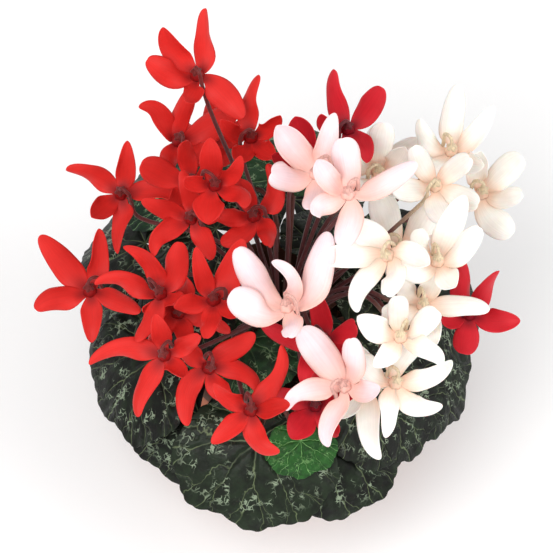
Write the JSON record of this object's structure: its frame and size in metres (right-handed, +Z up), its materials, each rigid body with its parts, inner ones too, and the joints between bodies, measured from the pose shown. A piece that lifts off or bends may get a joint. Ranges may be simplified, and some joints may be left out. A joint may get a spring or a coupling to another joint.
{
  "type": "potted cyclamen",
  "caption": "Potted cyclamen: swept-back blooms in red, pink and white on hooked stalks over a collar of marbled heart-shaped leaves, in a plain clay pot of soil.",
  "frame": {"origin": "middle of the pot's foot, on the surface that the pot stands on", "axes": "+Z up, out of the pot. -Y is the plant's front, the side that the picture shows, and +X is to its right"},
  "size_m": [0.3299, 0.3155, 0.3856],
  "materials": {
    "clay": "matte",
    "soil": "matte",
    "stalk": "satin",
    "leaf": "satin",
    "scarlet": "satin",
    "crimson": "satin",
    "pink": "satin",
    "white": "satin"
  },
  "bodies": {
    "root": {"pot": "clay", "soil": "soil", "tuber_and_stalks": "stalk", "leaf_01": "leaf", "leaf_02": "leaf", "leaf_03": "leaf", "leaf_04": "leaf", "leaf_05": "leaf", "leaf_06": "leaf", "leaf_07": "leaf", "leaf_08": "leaf", "leaf_09": "leaf", "leaf_10": "leaf", "leaf_11": "leaf", "leaf_12": "leaf", "leaf_13": "leaf", "leaf_14": "leaf", "leaf_15": "leaf", "leaf_16": "leaf", "leaf_17": "leaf", "leaf_18": "leaf", "leaf_19": "leaf", "leaf_20": "leaf", "bloom_01_scarlet": "scarlet", "bloom_02_white": "white", "bloom_03_scarlet": "scarlet", "bloom_04_scarlet": "scarlet", "bloom_05_scarlet": "scarlet", "bloom_06_crimson": "crimson", "bloom_07_white": "white", "bloom_08_white": "white", "bloom_09_scarlet": "scarlet", "bloom_10_scarlet": "scarlet", "bloom_11_scarlet": "scarlet", "bloom_12_crimson": "crimson", "bloom_13_white": "white", "bloom_14_white": "white", "bloom_15_pink": "pink", "bloom_16_pink": "pink", "bloom_17_scarlet": "scarlet", "bloom_18_scarlet": "scarlet", "bloom_19_white": "white", "bloom_20_white": "white", "bloom_21_scarlet": "scarlet", "bloom_22_scarlet": "scarlet", "bloom_23_scarlet": "scarlet", "bloom_24_scarlet": "scarlet", "bloom_25_white": "white", "bloom_26_white": "white", "bloom_27_crimson": "crimson", "bloom_28_pink": "pink", "bloom_29_crimson": "crimson", "bloom_30_white": "white", "bloom_31_scarlet": "scarlet", "bloom_32_scarlet": "scarlet", "bloom_33_white": "white", "bloom_34_crimson": "crimson", "bloom_35_scarlet": "scarlet", "bloom_36_pink": "pink", "bloom_37_white": "white"}
  },
  "joints": []
}
